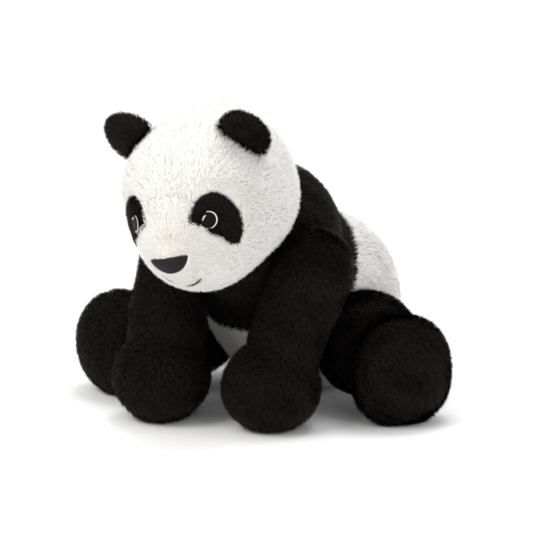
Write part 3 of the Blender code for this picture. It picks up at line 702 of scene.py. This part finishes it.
def in_nose(points, margin=0.0):
    a, b = face_uv(NOSE_AXES, points)
    u, v = a * NOSE_COS + b * NOSE_SIN, b * NOSE_COS - a * NOSE_SIN
    low = v < 0
    reach = np.where(low, NOSE_DOWN, NOSE_UP) + margin
    return (u / (NOSE_HALF_WIDTH + margin)) ** 2 + np.abs(v / reach) ** np.where(low, 2, 3) < 1.0


def smile(sign):
    """One half of the mouth, as u and v in the straight-ahead frame."""
    angle = np.radians(np.linspace(-90.0 + sign * 6.0, -90.0 + sign * 46.0, 24))
    return np.column_stack([SMILE_RADIUS * np.cos(angle), -SMILE_DROP + SMILE_RADIUS * np.sin(angle)])


def near_smile(points, margin):
    u, v = face_uv(AHEAD_AXES, points)
    best = np.full(len(points), 1e9)
    for a, b in smile(1):
        best = np.minimum(best, np.hypot(u - a, v - b))
    return best < margin


def round_outline(radius):
    """Outline of a disc."""

    def outline(angle):
        return radius * np.cos(angle), radius * np.sin(angle)

    return outline


def patch_outline(sign):
    """Outline of an eye patch; sign is 1 on the left and -1 on the right."""

    def outline(angle):
        return patch_reach(angle, sign) * np.cos(angle), patch_reach(angle, sign) * np.sin(angle)

    return outline


def add_disc(name, node, axes, outline, low, high, dome, material, rings=10, spokes=64, edge=None):
    """A sewn or embroidered piece inside a closed outline; edge is how far its rim is turned down."""
    angle = np.arange(spokes) * 2 * math.pi / spokes
    u, v = outline(angle)
    share = np.linspace(0.0, 1.0, rings + 1)[:, None]
    rise = high + dome * (1.0 - share**2) * np.ones_like(u)
    if edge:
        rise = rise - edge * np.clip((share - 0.86) / 0.14, 0.0, 1.0) ** 2
    outer = on_face(axes, share * u, share * v, rise)
    inner = on_face(axes, share * u, share * v, low + 0.0 * rise)
    vertices, faces = close_shell(outer, inner, True, (True, False))
    made = add_solid(name, vertices, faces, material, "head")
    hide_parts(node)
    return made


def add_thread(name, node, axes, line, radius, height, material):
    """Embroidery along a line: short satin stitches laid side by side over a raised core."""
    line = np.asarray(line, float)
    step = np.r_[0.0, np.cumsum(np.linalg.norm(np.diff(line, axis=0), axis=1))]
    count = max(int(step[-1] / 0.30), 6)
    at = np.linspace(0.0, step[-1], count)
    centre = np.column_stack([np.interp(at, step, line[:, 0]), np.interp(at, step, line[:, 1])])
    along = unit(np.gradient(centre, axis=0))
    across = np.column_stack([-along[:, 1], along[:, 0]])
    vertices, faces = [], []
    ends = np.sin(np.linspace(0.0, math.pi, count)) ** 0.35
    turn_angle = np.linspace(0.0, 2 * math.pi, 9)[:-1]
    for k in range(count):
        ripple = 1.0 + 0.16 * (-1) ** k
        reach = radius * max(ends[k], 0.25) * ripple
        u = centre[k, 0] + across[k, 0] * reach * np.cos(turn_angle)
        v = centre[k, 1] + across[k, 1] * reach * np.cos(turn_angle)
        vertices.extend(on_face(axes, u, v, height + 0.6 * reach * np.sin(turn_angle)))
    for k in range(count - 1):
        for j in range(8):
            n = (j + 1) % 8
            faces.append([8 * k + j, 8 * k + n, 8 * k + 8 + n, 8 * k + 8 + j])
    faces.append(list(range(8))[::-1])
    faces.append(list(range(8 * count - 8, 8 * count)))
    made = add_solid(name, np.array(vertices), faces, material, "head")
    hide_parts(node)
    return made


def arc(radius, start, end, count):
    angle = np.radians(np.linspace(start, end, count))
    return np.column_stack([radius * np.cos(angle), radius * np.sin(angle)])


def add_patch_pile(side, outline):
    """Short pile on an eye patch, brushed away from its middle and parted round the iris."""
    angle = np.linspace(0.0, 2 * math.pi, 97)
    share = np.linspace(0.0, 1.0, 25)[:, None]
    u, v = outline(angle)
    grid = on_face(PATCH_AXES[side], share * u, share * v, 0.7)
    away = unit(grid - HEAD_CENTRE)
    outward = unit(grid - on_face(PATCH_AXES[side], 0.0, 0.0, 0.0)) + np.array([0.0, 0.0, -0.5])
    eye_u, eye_v = face_uv(EYE_AXES[side], grid.reshape(-1, 3))
    from_eye = np.hypot(eye_u, eye_v).reshape(grid.shape[:2])
    centre = on_face(EYE_AXES[side], 0.0, 0.0, 0.0)
    spread = unit(grid - centre) * np.clip(1.4 - from_eye / 14.0, 0.0, 1.0)[..., None]
    tall = np.clip(1.7 + 0.25 * (from_eye - IRIS_RADIUS), 1.4, 3.2)
    fields = [grid, away, outward + spread, tall]
    roots, normals, brushed, tall = scatter(fields, np.full(grid.shape[:2], PATCH_DENSITY))
    eye_u, eye_v = face_uv(EYE_AXES[side], roots)
    keep = np.hypot(eye_u, eye_v) > IRIS_RADIUS + 1.3
    roots, normals, brushed, tall = roots[keep], unit(normals[keep]), brushed[keep], tall[keep]
    name = "eye_patch_" + side + "_pile"
    add_pile(name, roots, normals, brushed, tall, BLACK_PILE, "head", width=0.45)


def build_face():
    add_disc(
        "nose_cloth_pad", "nose", NOSE_AXES, nose_outline, -0.5, 1.6, 3.2, NOSE_CLOTH, edge=1.0
    )
    for side, sign in SIDES:
        outline = patch_outline(sign)
        patch, eye = PATCH_AXES[side], EYE_AXES[side]
        add_disc(
            "eye_patch_" + side + "_cloth", "eye_patch_" + side, patch, outline,
            0.1, 0.7, 0.3, BLACK_BACKING,
        )
        add_patch_pile(side, outline)
        add_disc(
            "iris_" + side + "_satin", "iris_" + side, eye, round_outline(IRIS_RADIUS),
            0.7, 2.3, 0.5, IRIS_SATIN, rings=8, spokes=40,
        )
        add_thread(
            "eye_rim_" + side + "_thread", "eye_rim_" + side, eye, arc(IRIS_RADIUS + 0.4, 88.0, -95.0, 40),
            0.45, 2.5, LIGHT_THREAD,
        )
        add_thread(
            "eye_glint_" + side + "_thread", "eye_glint_" + side, eye, arc(4.0, 165.0, 100.0, 20),
            0.45, 2.9, LIGHT_THREAD,
        )
        add_thread(
            "mouth_" + side + "_thread", "mouth_stitch_" + side, AHEAD_AXES, smile(sign),
            0.9, MOUTH_HEIGHTS[side], DARK_THREAD,
        )


# ---------------------------------------------------------------- the panda


def flow_grid(body, main, extra):
    """The way the pile is brushed: main times the way from the first pole to the last, plus a fixed pull."""
    return body.along * main + np.asarray(extra)


def build_head():
    forward = HEAD_TURN @ np.array([0.0, -1.0, 0.0])
    up = HEAD_TURN @ np.array([0.0, 0.0, 1.0])
    rings = [0, 12, 24, 36, 49, 62, 75, 88, 101, 114, 127, 140, 153, 166, 180]
    head = Body(HEAD_CENTRE, forward, up, head_field, rings, 20, 5)
    panels = [
        ("muzzle", "muzzle_cover", (0, 3, 0, 20)),
        ("forehead", "forehead_cover", (3, 8, -4, 4)),
        ("cheek_left", "cheek_cover_left", (3, 8, 4, 8)),
        ("chin", "chin_cover", (3, 8, 8, 12)),
        ("cheek_right", "cheek_cover_right", (3, 8, 12, 16)),
        ("head_back_left", "head_back_left", (8, 14, 0, 10)),
        ("head_back_right", "head_back_right", (8, 14, 10, 20)),
    ]
    for _, _, region in panels:
        head.groove(region, 0.5, 2.6)
    head.finish()
    flow = flow_grid(head, 1.0, (0.0, 0.0, -0.35))
    length = 3.9 + 1.9 * np.clip((head.alpha - 20.0) / 50.0, 0.0, 1.0)
    nose_u, nose_v = face_uv(NOSE_AXES, head.skin.reshape(-1, 3))
    from_nose = np.hypot(nose_u, nose_v + 4.0).reshape(head.alpha.shape)
    length = np.minimum(length, 2.4 + 0.14 * np.maximum(from_nose - 12.0, 0.0))
    for side, _ in SIDES:
        patch_u, patch_v = face_uv(PATCH_AXES[side], head.skin.reshape(-1, 3))
        edge = np.hypot(patch_u, patch_v).reshape(head.alpha.shape) - 20.0
        length = np.minimum(length, 3.2 + 0.25 * np.maximum(edge, 0.0))

    def keep(points):
        out = in_patch(points, "left", 0.2) | in_patch(points, "right", 0.2) | in_nose(points, -0.3)
        return ~(out | near_smile(points, 0.9))

    for stem, node, region in panels:
        add_panel(stem, node, head, region, False, "head", flow, length, keep=keep)
    add_stuffing("head", "head_filling", head, "head")
    build_face()


def build_ears():
    for side, _ in SIDES:
        axes = HEAD_TURN @ ear_axes(side)
        middle = ear_base(side) + axes[:, 2] * 9.0
        rings = [0, 30, 55, 74, 90, 106, 125, 150, 180]
        ear = Body(middle, axes[:, 1], axes[:, 2], partial(ear_field, side=side), rings, 16, 3)
        ear.groove((0, 4, 0, 16), 0.6, 2.0)
        ear.finish()
        flow = np.broadcast_to(axes[:, 2], ear.skin.shape) + 0.3 * unit(ear.skin - middle)
        length = np.full(ear.alpha.shape, 5.5)
        ride = "ear_" + side
        add_panel("ear_front_" + side, "ear_front_" + side, ear, (0, 4, 0, 16), True, ride, flow, length, 1.4)
        add_panel("ear_back_" + side, "ear_back_" + side, ear, (4, 8, 0, 16), True, ride, flow, length, 1.4)
        add_stuffing("ear_" + side, "ear_filling_" + side, ear, ride)


def torso_border(beta):
    b = np.radians(beta)
    return 71.3 + 11.6 * np.cos(b) - 1.8 * np.cos(2 * b) + 3.9 * np.cos(3 * b)


def build_torso():
    rings = [0, 7, 14, 20, 28, 36, 44, 51, 60, 70, 80, 91, 102, 113, 124, 135, 146, 157, 168, 180]
    border = (7, 3, torso_border)  # the black and white border is ring 7, and rings up to 3 stay put
    torso = Body(TORSO_MIDDLE, -NECK_WORLD, (0, 0, 1), torso_field, rings, 30, 4, -TORSO_BEND, border)
    panels = [
        ("chest", "chest_cover", (3, 7, 10, 20), True),
        ("shoulder_left", "shoulder_cover_left", (3, 7, 0, 10), True),
        ("shoulder_right", "shoulder_cover_right", (3, 7, 20, 30), True),
        ("belly", "belly_cover", (7, 16, 10, 20), False),
        ("back_left", "back_cover_left", (7, 16, 0, 10), False),
        ("back_right", "back_cover_right", (7, 16, 20, 30), False),
        ("seat", "seat_cover", (16, 19, 0, 30), False),
    ]
    for _, _, region, _ in panels:
        torso.groove(region, 0.8, 3.0)
    torso.finish()
    flow = flow_grid(torso, 1.0, (0.0, 0.0, -0.3))
    length = np.full(torso.alpha.shape, 5.8)
    for stem, node, region, black in panels:
        if region[0] == 3:  # these reach one ring further up, under the head
            region = (2, *region[1:])
        add_panel(stem, node, torso, region, black, "torso", flow, length)
    add_stuffing("torso", "torso_filling", torso, "torso")


def build_arms():
    rings = [0, 12, 24, 37, 50, 63, 79, 97, 116, 133, 149, 165, 180]
    for side, sign in SIDES:
        root, paw = np.asarray(ARM_ROOTS[side]), np.asarray(PAW_PLACES[side])
        middle = 0.47 * root + 0.53 * paw
        arm = Body(middle, paw - root, (-sign * 1.0, 0.0, 0.0), partial(arm_field, side=side), rings, 16, 5)
        panels = [
            ("paw_sole_", "paw_sole_", (0, 2, 0, 16), 0.2),
            ("paw_top_", "paw_cover_", (2, 4, 0, 16), 3.2),
            ("sleeve_inner_", "sleeve_inner_", (4, 12, -4, 4), 0.6),
            ("sleeve_outer_", "sleeve_outer_", (4, 12, 4, 12), 0.6),
        ]
        for *_, region, depth in panels:
            arm.groove((0, *region[1:]) if region[0] < 4 else region, depth, 3.4)
        arm.finish()
        flow = flow_grid(arm, -1.0, (0.0, 0.0, -0.3))
        length = np.full(arm.alpha.shape, 5.6)
        for stem, node, region, _ in panels:
            add_panel(stem + side, node + side, arm, region, True, "arm_" + side, flow, length)
        add_stuffing("arm_" + side, "arm_filling_" + side, arm, "arm_" + side)


def build_legs():
    rings = [0, 13, 26, 38, 50, 62, 78, 95, 112, 129, 146, 163, 180]
    for side, _ in SIDES:
        root, foot = mirrored(LEG_ROOT, side), np.asarray(FOOT_PLACES[side])
        middle = 0.42 * root + 0.58 * foot
        outward = leg_axes(side)[:, 0]
        leg = Body(middle, outward, (0.0, 0.0, 1.0), partial(leg_field, side=side), rings, 16, 5)
        panels = [
            ("foot_sole_", "foot_sole_", (0, 4, 0, 16), 1.3),
            ("foot_top_", "foot_cover_", (4, 6, 0, 16), 0.8),
            ("thigh_upper_", "thigh_upper_", (6, 12, -4, 4), 0.6),
            ("thigh_lower_", "thigh_lower_", (6, 12, 4, 12), 0.6),
        ]
        for _, _, region, depth in panels:
            leg.groove(region, depth, 3.2)
        leg.finish()
        sole = np.clip((50.0 - leg.alpha) / 25.0, 0.0, 1.0)[..., None]
        flow = flow_grid(leg, -1.0, (0.0, 0.0, -0.4)) * (1 - sole) + sole * np.array([0.1, 0.0, -1.0])
        length = np.full(leg.alpha.shape, 5.6)
        for stem, node, region, _ in panels:
            add_panel(stem + side, node + side, leg, region, True, "leg_" + side, flow, length)
        add_stuffing("leg_" + side, "leg_filling_" + side, leg, "leg_" + side)


# ---------------------------------------------------------------- floor, light, camera


def build_stage():
    mesh = bpy.data.meshes.new("floor")
    reach = 30.0
    corners = [(-reach, -reach, 0), (reach, -reach, 0), (reach, reach, 0), (-reach, reach, 0)]
    mesh.from_pydata(corners, [], [(0, 1, 2, 3)])
    floor = bpy.data.objects.new("floor", mesh)
    material = bpy.data.materials.new("floor_paper")
    material.use_nodes = True
    shader = material.node_tree.nodes["Principled BSDF"]
    shader.inputs["Base Color"].default_value = (0.93, 0.93, 0.93, 1.0)
    shader.inputs["Roughness"].default_value = 0.9
    mesh.materials.append(material)
    bpy.context.collection.objects.link(floor)
    world = bpy.data.worlds.new("studio")
    world.use_nodes = True
    sky = world.node_tree.nodes["Background"]
    sky.inputs["Color"].default_value = (1.0, 1.0, 1.0, 1.0)
    sky.inputs["Strength"].default_value = 0.9
    bpy.context.scene.world = world
    lamps = (  # name, place, size in metres, power in watts, colour
        ("key", (-0.9, -1.5, 1.7), 1.4, 26.0, (1.0, 0.985, 0.96)),
        ("fill", (1.6, -1.3, 0.8), 1.4, 7.0, (1.0, 0.99, 0.98)),
        ("top", (0.1, 0.3, 2.0), 1.2, 17.0, (1.0, 1.0, 1.0)),
    )
    for name, place, size, power, colour in lamps:
        light = bpy.data.lights.new(name, "AREA")
        light.shape = "DISK"
        light.size = size
        light.energy = power
        light.color = colour
        lamp = bpy.data.objects.new(name, light)
        lamp.location = place
        aim = Vector((0.0, -0.08, 0.11)) - Vector(place)
        lamp.rotation_euler = aim.to_track_quat("-Z", "Y").to_euler()
        bpy.context.collection.objects.link(lamp)
    bpy.context.scene.view_settings.view_transform = "Standard"


def build_camera(azimuth=25.0, elevation=15.0, distance=9.0, frame_width=0.3838):
    a, e = math.radians(azimuth), math.radians(elevation)
    right = Vector((math.cos(a), math.sin(a), 0.0))
    up = Vector((-math.sin(a) * math.sin(e), math.cos(a) * math.sin(e), math.cos(e)))
    back = Vector((math.sin(a) * math.cos(e), -math.cos(a) * math.cos(e), math.sin(e)))
    aim = Vector((0.0, -0.02736, 0.0)) - right * 0.0162 + up * 0.0872
    aim = aim + back * 0.08
    data = bpy.data.cameras.new("camera")
    data.sensor_width = 36.0
    data.lens = 36.0 * distance / frame_width
    data.clip_end = 100.0
    camera = bpy.data.objects.new("camera", data)
    camera.matrix_world = Matrix(
        (
            (right.x, up.x, back.x, aim.x + back.x * distance),
            (right.y, up.y, back.y, aim.y + back.y * distance),
            (right.z, up.z, back.z, aim.z + back.z * distance),
            (0, 0, 0, 1),
        )
    )
    bpy.context.collection.objects.link(camera)
    bpy.context.scene.camera = camera


build_stage()
build_camera()
build_head()
build_ears()
build_torso()
build_arms()
build_legs()
